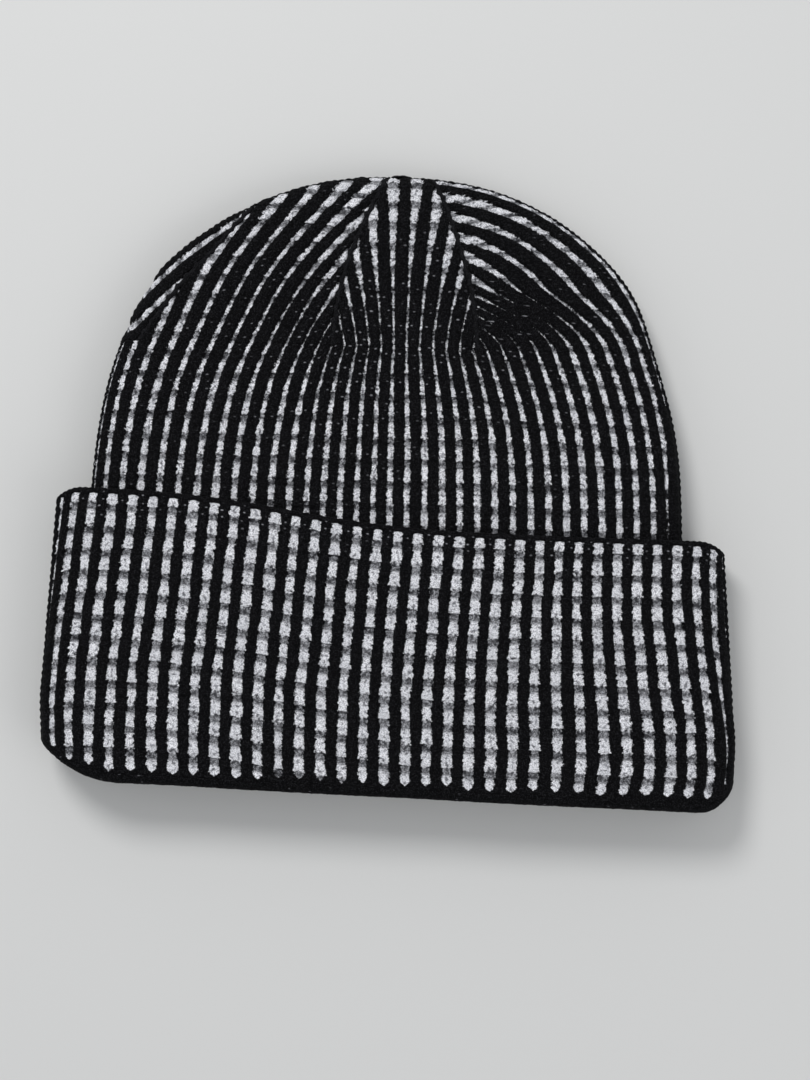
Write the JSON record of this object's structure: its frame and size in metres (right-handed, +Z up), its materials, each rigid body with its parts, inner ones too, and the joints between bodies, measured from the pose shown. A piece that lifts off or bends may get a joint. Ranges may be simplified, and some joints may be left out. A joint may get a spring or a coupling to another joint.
{
  "type": "knit beanie",
  "caption": "Adult rib-knit beanie in two yarn colours with a deep turned-up cuff and a darted crown, lying flat.",
  "frame": {"origin": "centre of the hat's footprint, on the surface that it lies on", "axes": "+X across the hat, +Y from the cuff's rim towards the top of the crown, +Z up, away from the surface that the back of the hat lies on"},
  "size_m": [0.225, 0.2051, 0.026],
  "materials": {
    "rib_knit": "matt, fuzzy yarn",
    "seam_yarn": "matt yarn"
  },
  "bodies": {
    "root": {"cuff_turn_up": "rib_knit", "cuff_edge_welt": "rib_knit", "cuff_rim_fold": "rib_knit", "inner_band": "rib_knit", "body_tube": "rib_knit", "gore_front": "rib_knit", "gore_front_left": "rib_knit", "gore_front_right": "rib_knit", "gore_back_left": "rib_knit", "gore_back_right": "rib_knit", "gore_back_left_half": "rib_knit", "gore_back_right_half": "rib_knit", "dart_seam_front_left": "seam_yarn", "dart_seam_front_right": "seam_yarn", "dart_seam_back_left": "seam_yarn", "dart_seam_back_right": "seam_yarn", "dart_seam_side_left": "seam_yarn", "dart_seam_side_right": "seam_yarn", "back_seam_cuff": "seam_yarn", "back_seam_band": "seam_yarn", "back_seam_body": "seam_yarn", "crown_closure": "seam_yarn"}
  },
  "joints": []
}
